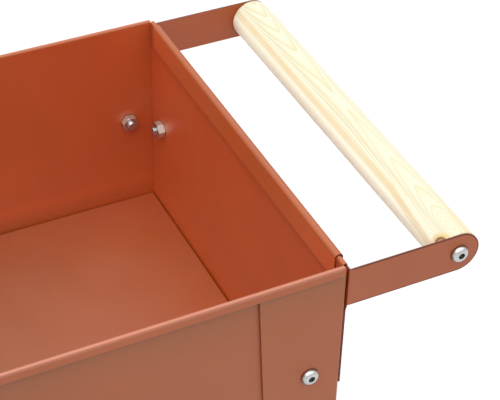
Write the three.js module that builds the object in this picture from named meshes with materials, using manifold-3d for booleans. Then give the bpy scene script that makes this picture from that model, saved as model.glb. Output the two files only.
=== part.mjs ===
import * as THREE from 'three';
import { mergeVertices } from 'three/addons/utils/BufferGeometryUtils.js';
import Module from 'manifold-3d';

// An elevated planter: a long sheet-metal box on four tapering angle legs, with a wooden
// handle held by a folded bracket at each end. Millimetres, X along the box, Y towards the
// back, Z up. The origin is on the floor, under the middle of the box.

// Driving dimensions of the box
const boxLength = 751;
const boxDepth = 354;
const rimHeight = 798;
const panelSheet = 1;
const panelBendInside = 1;
const rollDrop = 8.2;
const rollSlack = 0.2;
const bottomFlange = 20;

// Floor tray and its stiffeners
const floorDepth = 187;
const floorSheet = 1.2;
const floorGap = 1.2;
const floorBendInside = 0.6;
const traySkirt = 21;
const stiffenerSpacing = 250;
const stiffenerWidth = 30;
const stiffenerFoot = 12;
const stiffenerSheet = 1.2;
const drainBore = 8;
const drainPitch = 80;
const drainRows = 3;
const drainColumns = 2;

// Legs
const legSheet = 2;
const legBendInside = 0.5;
const legWidthTop = 70;
const legWidthFoot = 24;
const legTopGap = 1.3;

// Foot caps
const footWall = 2;
const footHeight = 16;
const footSole = 4;
const footSlack = 0.3;

// Handle: bracket, arms and dowel
const bracketSheet = 1.2;
const bracketBendInside = 1;
const hookLip = 20.8;
const hookSetback = 12.4;
const plateBelowBolt = 18.3;
const plateSetback = 0.9;
const joggleRun = 4;
const joggleBelowArm = 2;
const armWidth = 34.2;
const handleReach = 94.4;
const handleBelowRim = 21.9;
const dowelDiameter = 35;
const dowelChamfer = 1;

// Threaded inserts in the dowel's ends
const insertDiameter = 12;
const insertLength = 18;
const insertCollar = 1.2;
const insertCollarDiameter = 15;
const boreRelief = 0.9;

// Fasteners
const boltDiameter = 8;
const boltHole = 9;
const boltTipChamfer = 1;
const headDiameter = 14;
const headHeight = 4.4;
const headRim = 0.8;
const headFlat = 6.5;
const socketAcross = 5;
const socketDepth = 2.6;
const nutAcross = 13;
const nutHeight = 6.5;
const nutChamfer = 0.9;
const boltTail = 3.2;
const handleBoltGrip = 22;
const legBoltBelowRim = 99.4;
const legBoltFromCorner = 26.1;

// Clearances
const seamGap = 0.2;
const hookClearance = 0.2;
const threadClearance = 0.3;
const dowelClearance = 0.2;

// How finely the round shapes are faceted
const bendSteps = 3;
const rollSteps = 8;
const armEndSteps = 14;
const domeSteps = 4;
const boreSides = 16;
const headSides = 16;
const nutSides = 24;
const dowelSides = 24;

// How far a cutting tool stands out of what it cuts
const toolReach = 5;

// Corners closer than this are one corner
const mergeDistance = 1e-4;

// Places that follow from the driving dimensions
const legFaceX = boxLength / 2;
const legFaceY = boxDepth / 2;
const legBend = legBendInside + legSheet;
const endPanelOuter = legFaceX - legSheet;
const endPanelInner = endPanelOuter - panelSheet;
const sidePanelOuter = legFaceY - legSheet;
const sidePanelInner = sidePanelOuter - panelSheet;
const panelBend = panelBendInside + panelSheet;
const rollWidth = 2 * panelSheet + legSheet + rollSlack;
const rollCentreHeight = rimHeight - rollWidth / 2;
const rollLipHeight = rimHeight - rollDrop;
const floorTop = rimHeight - floorDepth;
const trayBottom = floorTop - traySkirt;
const panelBottom = trayBottom - panelSheet;
const floorHalfLength = endPanelInner - floorGap;
const floorHalfWidth = sidePanelInner - floorGap;
const floorBend = floorBendInside + floorSheet;
const legTop = rollCentreHeight - legTopGap;
const boltHeight = rimHeight - legBoltBelowRim;
const boltX = legFaceX - legBoltFromCorner;
const boltY = legFaceY - legBoltFromCorner;
const handleHeight = rimHeight - handleBelowRim;
const handleX = legFaceX + handleReach;
const armTop = handleHeight + armWidth / 2;
const armBottom = handleHeight - armWidth / 2;
const armInner = legFaceY - bracketSheet;
const bracketBend = bracketBendInside + bracketSheet;
const bracketHigh = endPanelInner + rollWidth + hookClearance;
const bracketLow = legFaceX;
const bracketBottom = boltHeight - plateBelowBolt;
const joggleTop = armBottom - joggleBelowArm;
const joggleBottom = joggleTop - joggleRun;
const dowelLength = 2 * (armInner - dowelClearance);

const wasm = await Module();
wasm.setup();

const paintedSteel = { color: 0xa5482c, roughness: 0.55, metalness: 0.1 };
const pine = { color: 0xf0dcae, roughness: 0.6, metalness: 0 };
const brightSteel = { color: 0xc9ccce, roughness: 0.25, metalness: 1 };
const brass = { color: 0xb08a4a, roughness: 0.35, metalness: 1 };
const footPlastic = { color: 0x2a2522, roughness: 0.7, metalness: 0 };

// Booleans on closed meshes

function solidOf(geometry) {
  const bare = geometry.clone();
  bare.deleteAttribute('normal');
  bare.deleteAttribute('uv');
  const merged = mergeVertices(bare, mergeDistance);
  const mesh = new wasm.Mesh({
    numProp: 3,
    vertProperties: new Float32Array(merged.attributes.position.array),
    triVerts: new Uint32Array(merged.index.array),
  });
  return new wasm.Manifold(mesh);
}

function geometryOf(solid) {
  const mesh = solid.getMesh();
  const geometry = new THREE.BufferGeometry();
  geometry.setAttribute('position', new THREE.BufferAttribute(new Float32Array(mesh.vertProperties), 3));
  geometry.setIndex(new THREE.BufferAttribute(new Uint32Array(mesh.triVerts), 1));
  geometry.computeVertexNormals();
  return geometry;
}

// The same body with its seams merged
function closed(geometry) {
  return geometryOf(solidOf(geometry));
}

function join(...geometries) {
  const solids = geometries.map(solidOf);
  return geometryOf(solids.reduce((sum, solid) => sum.add(solid)));
}

function cut(geometry, tools) {
  const solid = tools.map(solidOf).reduce((rest, tool) => rest.subtract(tool), solidOf(geometry));
  return geometryOf(solid);
}

function overlapOf(first, second) {
  return geometryOf(solidOf(first).intersect(solidOf(second)));
}

// Basic bodies, each placed by its limits

function boxBetween(x0, x1, y0, y1, z0, z1) {
  const geometry = new THREE.BoxGeometry(x1 - x0, y1 - y0, z1 - z0);
  return geometry.translate((x0 + x1) / 2, (y0 + y1) / 2, (z0 + z1) / 2);
}

function extrude(points, length) {
  const shape = new THREE.Shape(points.map(([x, y]) => new THREE.Vector2(x, y)));
  return new THREE.ExtrudeGeometry(shape, { depth: length, bevelEnabled: false });
}

// A profile drawn in Y and Z, extruded along X between two places
function extrudeAlongX(points, x0, x1) {
  return extrude(points, x1 - x0).rotateX(Math.PI / 2).rotateZ(Math.PI / 2).translate(x0, 0, 0);
}

// A profile drawn in X and Z, extruded along Y between two places
function extrudeAlongY(points, y0, y1) {
  return extrude(points, y1 - y0).rotateX(Math.PI / 2).translate(0, y1, 0);
}

// A profile drawn in X and Y, extruded along Z between two heights
function extrudeAlongZ(points, z0, z1) {
  return extrude(points, z1 - z0).translate(0, 0, z0);
}

function cylinderAlongX(diameter, x0, x1, y, z, sides) {
  const geometry = new THREE.CylinderGeometry(diameter / 2, diameter / 2, x1 - x0, sides);
  return geometry.rotateZ(Math.PI / 2).translate((x0 + x1) / 2, y, z);
}

function cylinderAlongY(diameter, y0, y1, x, z, sides) {
  const geometry = new THREE.CylinderGeometry(diameter / 2, diameter / 2, y1 - y0, sides);
  return geometry.translate(x, (y0 + y1) / 2, z);
}

function cylinderAlongZ(diameter, z0, z1, x, y, sides) {
  const geometry = new THREE.CylinderGeometry(diameter / 2, diameter / 2, z1 - z0, sides);
  return geometry.rotateX(Math.PI / 2).translate(x, y, (z0 + z1) / 2);
}

// Points on an arc about a centre, angles in degrees from the first axis to the second
function arc(centreU, centreV, radius, from, to, steps) {
  const points = [];
  for (let i = 0; i <= steps; i++) {
    const angle = THREE.MathUtils.degToRad(from + ((to - from) * i) / steps);
    points.push([centreU + radius * Math.cos(angle), centreV + radius * Math.sin(angle)]);
  }
  return points;
}

// Panels: a wall, a rolled top edge that turns outward and a flange that turns inward.
// The profile is drawn in the outward direction and in Z, with the wall's outer face at wallOuter.

function panelProfile(wallOuter) {
  const wallInner = wallOuter - panelSheet;
  const rollCentre = wallInner + rollWidth / 2;
  const rollInside = rollWidth / 2 - panelSheet;
  const bendCentre = wallOuter - panelBend;
  const bendHeight = panelBottom + panelBend;
  return [
    ...arc(bendCentre, bendHeight, panelBend, 270, 360, bendSteps),
    ...arc(rollCentre, rollCentreHeight, rollInside, 180, 0, rollSteps),
    [rollCentre + rollInside, rollLipHeight],
    [rollCentre + rollWidth / 2, rollLipHeight],
    ...arc(rollCentre, rollCentreHeight, rollWidth / 2, 0, 180, rollSteps),
    ...arc(bendCentre, bendHeight, panelBendInside, 360, 270, bendSteps),
    [wallInner - bottomFlange, panelBottom + panelSheet],
    [wallInner - bottomFlange, panelBottom],
  ];
}

// Drawn for the back of the box
function sidePanel() {
  const halfLength = legFaceX - legBend - seamGap;
  const body = extrudeAlongX(panelProfile(sidePanelOuter), -halfLength, halfLength);
  const y0 = sidePanelInner - toolReach;
  const y1 = sidePanelOuter + toolReach;
  const holes = [-boltX, boltX].map((x) => cylinderAlongY(boltHole, y0, y1, x, boltHeight, boreSides));
  return cut(body, holes);
}

// Drawn for the right end. Its flange stops short of the side panels' flanges.
function endPanel() {
  const halfWidth = sidePanelInner - seamGap;
  const flangeHalf = sidePanelInner - bottomFlange - seamGap;
  const body = extrudeAlongY(panelProfile(endPanelOuter), -halfWidth, halfWidth);
  const x0 = endPanelInner - bottomFlange - toolReach;
  const x1 = endPanelOuter + toolReach;
  const holes = [-boltY, boltY].map((y) => cylinderAlongX(boltHole, x0, x1, y, boltHeight, boreSides));
  const notchWidth = halfWidth - flangeHalf + toolReach;
  const notches = [flangeHalf, -flangeHalf - notchWidth].map((y) =>
    boxBetween(x0, x1, y, y + notchWidth, panelBottom - toolReach, panelBottom + panelBend + seamGap));
  return cut(body, [...holes, ...notches]);
}

// Floor: a shallow tray turned upside down, its skirts standing on the panels' flanges

function trayProfile(half, top, bottom, bend) {
  return [
    [-half, bottom],
    [half, bottom],
    ...arc(half - bend, top - bend, bend, 0, 90, bendSteps),
    ...arc(-half + bend, top - bend, bend, 90, 180, bendSteps),
  ];
}

// A block with rounded upper edges, the tray's outside or its hollow
function trayBlock(halfLength, halfWidth, top, bottom, bend) {
  return overlapOf(
    extrudeAlongX(trayProfile(halfWidth, top, bottom, bend), -halfLength, halfLength),
    extrudeAlongY(trayProfile(halfLength, top, bottom, bend), -halfWidth, halfWidth));
}

function floorTray() {
  const outside = trayBlock(floorHalfLength, floorHalfWidth, floorTop, trayBottom, floorBend);
  const hollow = trayBlock(floorHalfLength - floorSheet, floorHalfWidth - floorSheet, floorTop - floorSheet,
    trayBottom - toolReach, floorBendInside);
  const drains = [];
  for (let row = 0; row < drainRows; row++) {
    for (let column = 0; column < drainColumns; column++) {
      const x = (column - (drainColumns - 1) / 2) * drainPitch;
      const y = (row - (drainRows - 1) / 2) * drainPitch;
      drains.push(cylinderAlongZ(drainBore, floorTop - toolReach, floorTop + toolReach, x, y, boreSides));
    }
  }
  return cut(outside, [hollow, ...drains]);
}

// Floor stiffener: a top-hat channel, its feet flat against the tray and its
// crown resting on the side panels' flanges
function floorStiffener(x) {
  const top = floorTop - floorSheet;
  const half = stiffenerWidth / 2;
  const foot = half + stiffenerFoot;
  const inside = half - stiffenerSheet;
  const profile = [
    [-foot, top - stiffenerSheet],
    [-half, top - stiffenerSheet],
    [-half, trayBottom],
    [half, trayBottom],
    [half, top - stiffenerSheet],
    [foot, top - stiffenerSheet],
    [foot, top],
    [inside, top],
    [inside, trayBottom + stiffenerSheet],
    [-inside, trayBottom + stiffenerSheet],
    [-inside, top],
    [-foot, top],
  ];
  const reach = floorHalfWidth - floorBend - seamGap;
  return extrudeAlongY(profile, -reach, reach).translate(x, 0, 0);
}

// Legs: a bent angle whose two flanges narrow towards the foot, drawn for the back right corner

function legAngle(width) {
  const centreX = legFaceX - legBend;
  const centreY = legFaceY - legBend;
  return [
    [legFaceX - width, legFaceY],
    [legFaceX - width, legFaceY - legSheet],
    ...arc(centreX, centreY, legBendInside, 90, 0, bendSteps),
    [legFaceX - legSheet, legFaceY - width],
    [legFaceX, legFaceY - width],
    ...arc(centreX, centreY, legBend, 0, 90, bendSteps),
  ];
}

// The width of a flange at a height above the ground
function legWidthAt(height) {
  return legWidthFoot + ((legWidthTop - legWidthFoot) * (height - footSole)) / (legTop - footSole);
}

function legFlange(outer) {
  return [
    [outer, footSole],
    [outer, legTop],
    [outer - legWidthTop, legTop],
    [outer - legWidthFoot, footSole],
  ];
}

function leg() {
  const prism = extrudeAlongZ(legAngle(legWidthTop), footSole, legTop);
  const sideTaper = extrudeAlongY(legFlange(legFaceX), legFaceY - legWidthTop, legFaceY);
  const endTaper = extrudeAlongX(legFlange(legFaceY), legFaceX - legWidthTop, legFaceX);
  return cut(overlapOf(overlapOf(prism, sideTaper), endTaper), [
    cylinderAlongY(boltHole, legFaceY - toolReach, legFaceY + toolReach, boltX, boltHeight, boreSides),
    cylinderAlongX(boltHole, legFaceX - toolReach, legFaceX + toolReach, boltY, boltHeight, boreSides),
  ]);
}

// Foot cap: a sole with a wall on each side of the leg's sheet

// The leg's angle, width wide, with its two faces grown on both sides
function capAngle(width, grow) {
  const centreX = legFaceX - legBend;
  const centreY = legFaceY - legBend;
  return [
    [legFaceX - width, legFaceY + grow],
    [legFaceX - width, legFaceY - legSheet - grow],
    [legFaceX - legSheet - grow, legFaceY - legSheet - grow],
    [legFaceX - legSheet - grow, legFaceY - width],
    [legFaceX + grow, legFaceY - width],
    ...arc(centreX, centreY, legBend + grow, 0, 90, bendSteps),
  ];
}

function footCap() {
  const slotWidth = legWidthAt(footHeight) + footSlack;
  const body = extrudeAlongZ(capAngle(slotWidth + footWall, footSlack + footWall), 0, footHeight);
  return cut(body, [extrudeAlongZ(capAngle(slotWidth, footSlack), footSole, footHeight + toolReach)]);
}

// Handle bracket: hooks over the end panel's rolled edge, lies on the legs below the joggle
// and turns out into the two arms. Drawn for the right end.

// The plate in X and Z, with the joggle below the arms
function plateProfile() {
  return [
    [bracketHigh, armTop],
    [bracketHigh, joggleTop],
    [bracketLow, joggleBottom],
    [bracketLow, bracketBottom],
    [bracketLow + bracketSheet, bracketBottom],
    [bracketLow + bracketSheet, joggleBottom],
    [bracketHigh + bracketSheet, joggleTop],
    [bracketHigh + bracketSheet, armTop],
  ];
}

// The plate's foot, which all but reaches the legs' outer faces
function plateFoot() {
  const half = legFaceY - plateSetback;
  return boxBetween(bracketLow, bracketLow + bracketSheet, -half, half, bracketBottom, joggleBottom);
}

// The hook in X and Z, from the plate's upper part over the rolled edge to the lip inside the box
function hookProfile() {
  const lipFace = endPanelInner - hookClearance;
  const radius = (bracketHigh - lipFace) / 2;
  const centre = (bracketHigh + lipFace) / 2;
  const centreHeight = rimHeight + hookClearance - radius;
  const lipEnd = rimHeight - hookLip;
  return [
    ...arc(centre, centreHeight, radius + bracketSheet, 0, 180, rollSteps),
    [lipFace - bracketSheet, lipEnd],
    [lipFace, lipEnd],
    ...arc(centre, centreHeight, radius, 180, 0, rollSteps),
    [bracketHigh, handleHeight],
    [bracketHigh + bracketSheet, handleHeight],
  ];
}

// The arms and the plate between them, seen from above
function armPlan() {
  const bendX = bracketHigh + bracketBend;
  const bendY = legFaceY - bracketBend;
  const tip = handleX + armWidth;
  return [
    [tip, -legFaceY],
    [tip, -armInner],
    ...arc(bendX, -bendY, bracketBendInside, 270, 180, bendSteps),
    ...arc(bendX, bendY, bracketBendInside, 180, 90, bendSteps),
    [tip, armInner],
    [tip, legFaceY],
    ...arc(bendX, bendY, bracketBend, 90, 180, bendSteps),
    ...arc(bendX, -bendY, bracketBend, 180, 270, bendSteps),
  ];
}

// The arms' outline from the side: straight edges and a round end
function armOutline() {
  return [
    [bracketHigh - toolReach, armBottom],
    ...arc(handleX, handleHeight, armWidth / 2, -90, 90, armEndSteps),
    [bracketHigh - toolReach, armTop],
  ];
}

function handleBracket() {
  const plateHalf = legFaceY - bracketBend;
  const hookHalf = legFaceY - hookSetback;
  const plate = extrudeAlongY(plateProfile(), -plateHalf, plateHalf);
  const hook = extrudeAlongY(hookProfile(), -hookHalf, hookHalf);
  const arms = overlapOf(
    extrudeAlongZ(armPlan(), armBottom, armTop),
    extrudeAlongY(armOutline(), -legFaceY, legFaceY));
  const holes = [-boltY, boltY].map((y) =>
    cylinderAlongX(boltHole, bracketLow - toolReach, bracketLow + toolReach, y, boltHeight, boreSides));
  const reach = legFaceY + toolReach;
  const armHoles = cylinderAlongY(boltHole, -reach, reach, handleX, handleHeight, boreSides);
  return cut(join(plate, plateFoot(), hook, arms), [...holes, armHoles]);
}

// A body turned about the dowel's axis, from points of radius and place along Y
function turnedOnDowel(profile, sides) {
  const geometry = new THREE.LatheGeometry(profile.map(([r, y]) => new THREE.Vector2(r, y)), sides);
  return closed(geometry.translate(handleX, 0, handleHeight));
}

// Dowel with a chamfer at each end and a stepped bore for each insert and bolt
function handleDowel() {
  const half = dowelLength / 2;
  const radius = dowelDiameter / 2;
  const collarBore = insertCollarDiameter / 2 + threadClearance;
  const sleeveBore = insertDiameter / 2 + threadClearance;
  const boltBore = boltDiameter / 2 + threadClearance;
  const collarSeat = half - insertCollar - threadClearance;
  const sleeveEnd = half - insertLength - boreRelief;
  const boltEnd = half - handleBoltGrip - boreRelief;
  const halfProfile = [
    [radius, half - dowelChamfer], [radius - dowelChamfer, half],
    [collarBore, half], [collarBore, collarSeat],
    [sleeveBore, collarSeat], [sleeveBore, sleeveEnd],
    [boltBore, sleeveEnd], [boltBore, boltEnd], [0, boltEnd],
  ];
  const otherHalf = halfProfile.map(([r, y]) => [r, -y]).reverse();
  return turnedOnDowel([...otherHalf, ...halfProfile], dowelSides);
}

// Threaded insert at the dowel's back end: a sleeve with a collar
function dowelInsert() {
  const outer = dowelLength / 2;
  const inner = outer - insertLength;
  const bore = boltDiameter / 2 + threadClearance;
  return turnedOnDowel([
    [bore, inner], [insertDiameter / 2, inner],
    [insertDiameter / 2, outer - insertCollar], [insertCollarDiameter / 2, outer - insertCollar],
    [insertCollarDiameter / 2, outer], [bore, outer], [bore, inner],
  ], boreSides);
}

// Fasteners point along +Z, with their seat at height 0

function turnedUpright(profile, sides) {
  const geometry = new THREE.LatheGeometry(profile.map(([r, y]) => new THREE.Vector2(r, y)), sides);
  return closed(geometry.rotateX(Math.PI / 2));
}

function hexagonPrism(across, z0, z1) {
  const corner = across / Math.sqrt(3);
  const geometry = new THREE.CylinderGeometry(corner, corner, z1 - z0, 6);
  return geometry.rotateX(Math.PI / 2).translate(0, 0, (z0 + z1) / 2);
}

// Button-head bolt: its domed head above the seat, its shank below
function bolt(length) {
  const head = headDiameter / 2;
  const flat = headFlat / 2;
  const shank = boltDiameter / 2;
  const domeCentre = (headHeight ** 2 + flat ** 2 - head ** 2 - headRim ** 2) / (2 * (headHeight - headRim));
  const domeRadius = Math.hypot(flat, headHeight - domeCentre);
  const from = THREE.MathUtils.radToDeg(Math.atan2(headRim - domeCentre, head));
  const to = THREE.MathUtils.radToDeg(Math.atan2(headHeight - domeCentre, flat));
  const body = turnedUpright([
    [0, -length], [shank - boltTipChamfer, -length], [shank, boltTipChamfer - length], [shank, 0], [head, 0],
    ...arc(0, domeCentre, domeRadius, from, to, domeSteps), [0, headHeight],
  ], headSides);
  return cut(body, [hexagonPrism(socketAcross, headHeight - socketDepth, headHeight + toolReach)]);
}

// Hexagon nut, chamfered at both ends
function nut() {
  const edge = nutAcross / 2;
  const corner = nutAcross / Math.sqrt(3);
  const turned = turnedUpright([
    [0, 0], [edge, 0], [corner, nutChamfer],
    [corner, nutHeight - nutChamfer], [edge, nutHeight], [0, nutHeight],
  ], nutSides);
  const boreDiameter = boltDiameter + 2 * threadClearance;
  const bore = cylinderAlongZ(boreDiameter, -toolReach, nutHeight + toolReach, 0, 0, boreSides);
  return cut(overlapOf(turned, hexagonPrism(nutAcross, 0, nutHeight)), [bore]);
}

// Assembly

const planter = new THREE.Group();

function add(name, geometry, finish, parent = planter) {
  const mesh = new THREE.Mesh(geometry, new THREE.MeshStandardMaterial(finish));
  mesh.name = name;
  parent.add(mesh);
  return mesh;
}

// Turns a geometry drawn for +X and +Y to another corner, keeping its faces outward
function mirrored(geometry, signX, signY) {
  const copy = geometry.clone().scale(signX, signY, 1);
  if (signX * signY < 0) {
    const index = copy.index.array;
    for (let i = 0; i < index.length; i += 3) {
      [index[i + 1], index[i + 2]] = [index[i + 2], index[i + 1]];
    }
    copy.computeVertexNormals();
  }
  return copy;
}

const ends = [['right', 1], ['left', -1]];
const sides = [['front', -1], ['back', 1]];

const sidePanelGeometry = sidePanel();
for (const [side, signY] of sides) {
  add(`${side}_panel`, mirrored(sidePanelGeometry, 1, signY), paintedSteel);
}

const endPanelGeometry = endPanel();
const bracketGeometry = handleBracket();
const dowelGeometry = handleDowel();
for (const [end, signX] of ends) {
  add(`end_panel_${end}`, mirrored(endPanelGeometry, signX, 1), paintedSteel);
  add(`handle_bracket_${end}`, mirrored(bracketGeometry, signX, 1), paintedSteel);
  add(`handle_dowel_${end}`, mirrored(dowelGeometry, signX, 1), pine);
}

add('floor_tray', floorTray(), paintedSteel);
for (const [end, signX] of ends) {
  add(`floor_stiffener_${end}`, floorStiffener((signX * stiffenerSpacing) / 2), paintedSteel);
}

const legGeometry = leg();
const footGeometry = footCap();
const insertGeometry = dowelInsert();
const nutGeometry = nut();
const sideBoltGeometry = bolt(legSheet + panelSheet + nutHeight + boltTail);
const endBoltGeometry = bolt(bracketSheet + legSheet + panelSheet + nutHeight + boltTail);
const handleBoltGeometry = bolt(bracketSheet + dowelClearance + handleBoltGrip);

// Places a fastener drawn along +Z so that it points along +Y or -Y, or along +X or -X
function facingY(mesh, signY, x, y, z) {
  mesh.rotation.x = (-signY * Math.PI) / 2;
  mesh.position.set(x, y, z);
}

function facingX(mesh, signX, x, y, z) {
  mesh.rotation.y = (signX * Math.PI) / 2;
  mesh.position.set(x, y, z);
}

for (const [end, signX] of ends) {
  for (const [side, signY] of sides) {
    const corner = `${side}_${end}`;
    add(`leg_${corner}`, mirrored(legGeometry, signX, signY), paintedSteel);
    add(`foot_cap_${corner}`, mirrored(footGeometry, signX, signY), footPlastic);
    add(`dowel_insert_${corner}`, mirrored(insertGeometry, signX, signY), brass);
    facingY(add(`side_bolt_${corner}`, sideBoltGeometry, brightSteel), signY,
      signX * boltX, signY * legFaceY, boltHeight);
    facingY(add(`side_nut_${corner}`, nutGeometry, brightSteel), -signY,
      signX * boltX, signY * sidePanelInner, boltHeight);
    facingX(add(`end_bolt_${corner}`, endBoltGeometry, brightSteel), signX,
      signX * (bracketLow + bracketSheet), signY * boltY, boltHeight);
    facingX(add(`end_nut_${corner}`, nutGeometry, brightSteel), -signX,
      signX * endPanelInner, signY * boltY, boltHeight);
    facingY(add(`handle_bolt_${corner}`, handleBoltGeometry, brightSteel), signY,
      signX * handleX, signY * legFaceY, handleHeight);
  }
}

export default planter;
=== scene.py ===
"""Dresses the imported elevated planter: coated sheet metal, pine handles, zinc fasteners and a studio."""

import math

import bmesh
import bpy
from mathutils import Matrix, Vector


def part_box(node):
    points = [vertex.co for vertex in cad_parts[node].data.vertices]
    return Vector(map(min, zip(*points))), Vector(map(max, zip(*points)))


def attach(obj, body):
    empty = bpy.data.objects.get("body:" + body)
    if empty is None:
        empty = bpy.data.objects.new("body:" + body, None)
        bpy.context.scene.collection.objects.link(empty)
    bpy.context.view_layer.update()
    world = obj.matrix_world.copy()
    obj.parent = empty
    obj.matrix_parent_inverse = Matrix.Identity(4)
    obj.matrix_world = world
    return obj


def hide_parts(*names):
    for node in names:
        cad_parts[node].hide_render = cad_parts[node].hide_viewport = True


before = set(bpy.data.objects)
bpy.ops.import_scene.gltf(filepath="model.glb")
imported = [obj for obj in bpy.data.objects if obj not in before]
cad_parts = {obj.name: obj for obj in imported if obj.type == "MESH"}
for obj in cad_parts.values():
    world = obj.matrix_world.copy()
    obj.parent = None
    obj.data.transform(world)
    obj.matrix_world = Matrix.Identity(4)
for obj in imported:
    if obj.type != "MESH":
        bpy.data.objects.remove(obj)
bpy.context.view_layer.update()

bl_info = {
    "name": "Elevated planter",
    "version": (1, 0, 0),
    "blender": (4, 5, 0),
    "location": "3D View > Sidebar > Planter",
    "description": "Builds a coated sheet-metal planter with pine handles around its frame",
    "category": "Object",
}

MM = 0.001
X_AXIS = Vector((1, 0, 0))
Y_AXIS = Vector((0, 1, 0))
Z_AXIS = Vector((0, 0, 1))
ENDS = (("right", 1), ("left", -1))
SIDES = (("front", -1), ("back", 1))
CORNERS = [(f"{side}_{end}", sign_x, sign_y) for end, sign_x in ENDS for side, sign_y in SIDES]

# Places taken from the frame's own nodes
LEG_LOW, LEG_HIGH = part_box("leg_back_right")
PANEL_LOW, PANEL_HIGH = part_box("back_panel")
END_LOW, END_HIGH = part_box("end_panel_right")
TRAY_LOW, TRAY_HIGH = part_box("floor_tray")
STIFFENER_LOW, STIFFENER_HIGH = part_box("floor_stiffener_right")
CAP_LOW, CAP_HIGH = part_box("foot_cap_back_right")
BRACKET_LOW, BRACKET_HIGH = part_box("handle_bracket_right")
DOWEL_LOW, DOWEL_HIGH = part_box("handle_dowel_right")
DOWEL_CENTRE = (DOWEL_LOW + DOWEL_HIGH) / 2


def middle(node):
    """The middle of a node's box"""
    low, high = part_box(node)
    return (low + high) / 2


SIDE_BOLT = middle("side_bolt_back_right")
END_BOLT = middle("end_bolt_back_right")


# What a user would change


def length(name, description, default):
    return bpy.props.FloatProperty(
        name=name, description=description, default=default, min=0, unit="LENGTH", precision=5)


def amount(name, description, default, high=1.0):
    return bpy.props.FloatProperty(
        name=name, description=description, default=default, min=0, max=high, subtype="FACTOR")


def angle(name, description, default):
    return bpy.props.FloatProperty(
        name=name, description=description, default=math.radians(default), unit="ROTATION")


def count(name, description, default):
    return bpy.props.IntProperty(name=name, description=description, default=default, min=1)


def colour(name, description, default):
    return bpy.props.FloatVectorProperty(
        name=name, description=description, default=default, size=3, min=0, max=1, subtype="COLOR")


def place(name, description, default):
    return bpy.props.FloatVectorProperty(
        name=name, description=description, default=default, size=3, subtype="TRANSLATION", unit="LENGTH")


class PlanterSheet(bpy.types.PropertyGroup):
    """Thicknesses, bends and edges of the sheet-metal pieces"""

    panel: length("Panel sheet", "Thickness of the four walls", 1.0 * MM)
    floor: length("Floor sheet", "Thickness of the floor tray and its stiffeners", 1.2 * MM)
    leg: length("Leg sheet", "Thickness of the legs", 2 * MM)
    bracket: length("Bracket sheet", "Thickness of the handle brackets", 1.2 * MM)
    roll_width: length("Roll width", "Width of a wall's rolled top edge over the outside", 4.2 * MM)
    roll_drop: length("Roll drop", "Height of a wall's rolled top edge", 8.2 * MM)
    flange: length("Bottom flange", "Reach of a wall's bottom flange from its inner face", 20 * MM)
    panel_bend: length("Panel bend", "Middle radius of a wall's bottom bend", 1.5 * MM)
    floor_bend: length("Floor bend", "Middle radius of the tray's bends", 1.2 * MM)
    leg_bend: length("Leg bend", "Middle radius of a leg's bend", 1.5 * MM)
    bracket_bend: length("Bracket bend", "Middle radius of the bend into an arm", 0.8 * MM)
    joggle_bend: length("Joggle bend", "Middle radius of the bracket's two joggle bends", 1.6 * MM)
    seam: length("Seam", "Gap between sheets that meet at a corner", 0.2 * MM)
    drain: length("Drain hole", "Diameter of the floor's drain holes", 8 * MM)
    drain_pitch: length("Drain pitch", "Distance between drain holes", 80 * MM)
    stiffener_foot: length("Stiffener foot", "Width of a stiffener's feet", 12 * MM)
    edge_round: length("Edge rounding", "Rounding of the cut edges under the coat", 0.16 * MM)
    bracket_round: length("Bracket edge rounding", "Rounding of the brackets' punched edges", 0.3 * MM)
    bend_steps: count("Bend steps", "Faces across a right-angled bend", 8)


class PlanterLegs(bpy.types.PropertyGroup):
    """Legs and their foot caps"""

    foot_width: length("Foot width", "Width of a flange at the foot", 24 * MM)
    hole: length("Bolt hole", "Diameter of the bolt holes in the sheets", 9 * MM)
    cap_wall: length("Cap wall", "Wall of a foot cap", 2 * MM)
    cap_sole: length("Cap sole", "Height of a foot cap's sole", 4 * MM)
    cap_round: length("Cap rounding", "Rounding of a foot cap's edges", 0.5 * MM)
    cap_corner: length("Cap corner", "What the corner's radius has over the wall outside the leg", 2 * MM)
    cap_tread: length("Cap tread", "Width of the tread round a sole", 1.1 * MM)
    cap_recess: length("Cap recess", "Depth of a sole within its tread", 0.5 * MM)


class PlanterHandle(bpy.types.PropertyGroup):
    """Handle brackets and dowels"""

    arm_width: length("Arm width", "Width of a bracket's arm", 34.2 * MM)
    lip: length("Hook lip", "Depth of the hook's lip inside the box", 20.8 * MM)
    hook_setback: length("Hook setback", "From the legs' faces to the hook's ends", 12.4 * MM)
    plate_setback: length("Plate setback", "From the legs' faces to the ends of the plate's foot", 0.9 * MM)
    joggle_run: length("Joggle run", "Height of the joggle below the arms", 4 * MM)
    joggle_gap: length("Joggle gap", "From the arms down to the joggle", 2 * MM)
    chamfer: length("Dowel chamfer", "Chamfer at a dowel's ends", 1 * MM)
    insert_bore: length("Insert bore", "Bore for a threaded insert's sleeve", 12.6 * MM)
    insert_depth: length("Insert bore depth", "Depth of that bore", 18.9 * MM)


class PlanterFasteners(bpy.types.PropertyGroup):
    """Bolts and nuts"""

    thread: length("Thread", "Outside diameter of the thread", 8 * MM)
    pitch: length("Pitch", "Pitch of the thread", 1.25 * MM)
    head: length("Head", "Diameter of a bolt's head", 14 * MM)
    head_height: length("Head height", "Height of a bolt's head", 4.4 * MM)
    head_flat: length("Head flat", "Diameter of the flat round the socket", 6.5 * MM)
    socket: length("Socket", "Width across the socket's flats", 5 * MM)
    socket_depth: length("Socket depth", "Depth of the socket", 2.6 * MM)
    nut: length("Nut", "Width across a nut's flats", 13 * MM)


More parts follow.
